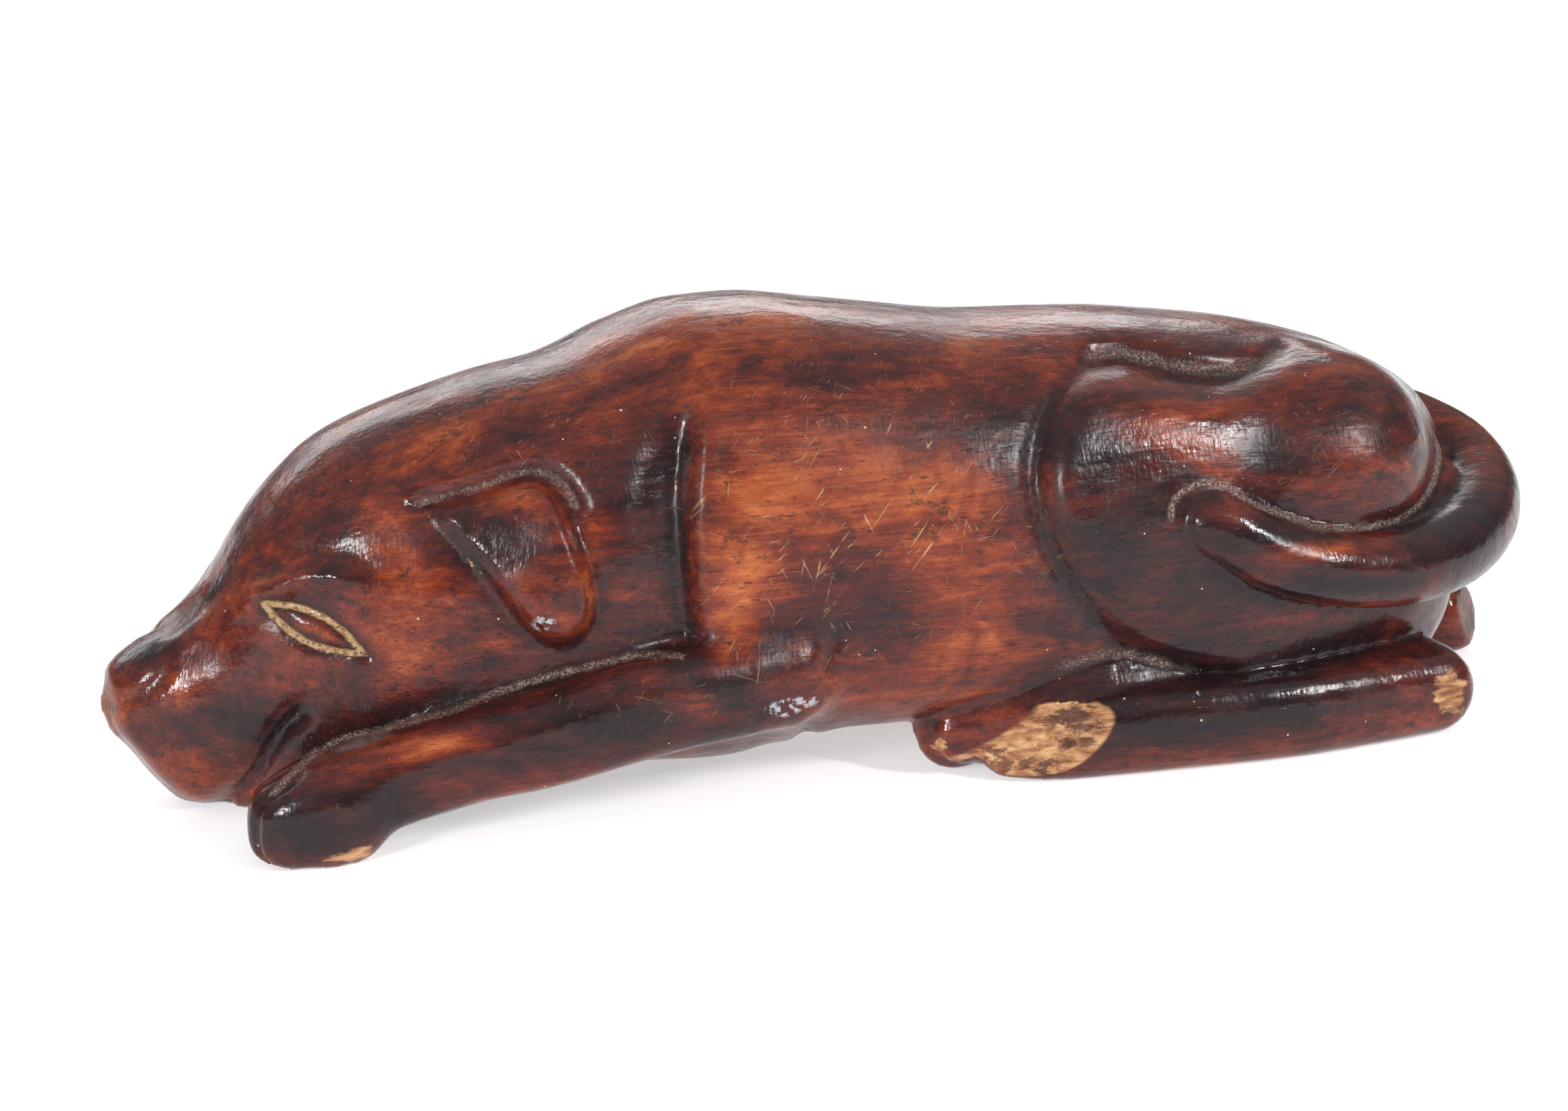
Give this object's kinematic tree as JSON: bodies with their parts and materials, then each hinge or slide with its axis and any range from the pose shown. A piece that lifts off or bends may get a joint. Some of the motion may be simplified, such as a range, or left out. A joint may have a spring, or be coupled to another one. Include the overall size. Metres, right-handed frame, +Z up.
{
  "type": "snuff box",
  "caption": "Carved wooden snuff box shaped as a hound lying down, tail laid along one flank, hollow body with a lid let into the underside.",
  "frame": {"origin": "on the surface it stands on, under the middle of its outer box", "axes": "+X from the hound's nose to its tail, +Z up, -Y towards the flank that the tail lies on"},
  "size_m": [0.1168, 0.0386, 0.0359],
  "materials": {
    "polished_wood": "varnished and hand-worn red-brown fruitwood with darker mottling, dust in the grooves",
    "lid_wood": "the same wood, plainer and less glossy"
  },
  "bodies": {
    "root": {"hound": "polished_wood", "lid": "lid_wood"}
  },
  "joints": []
}
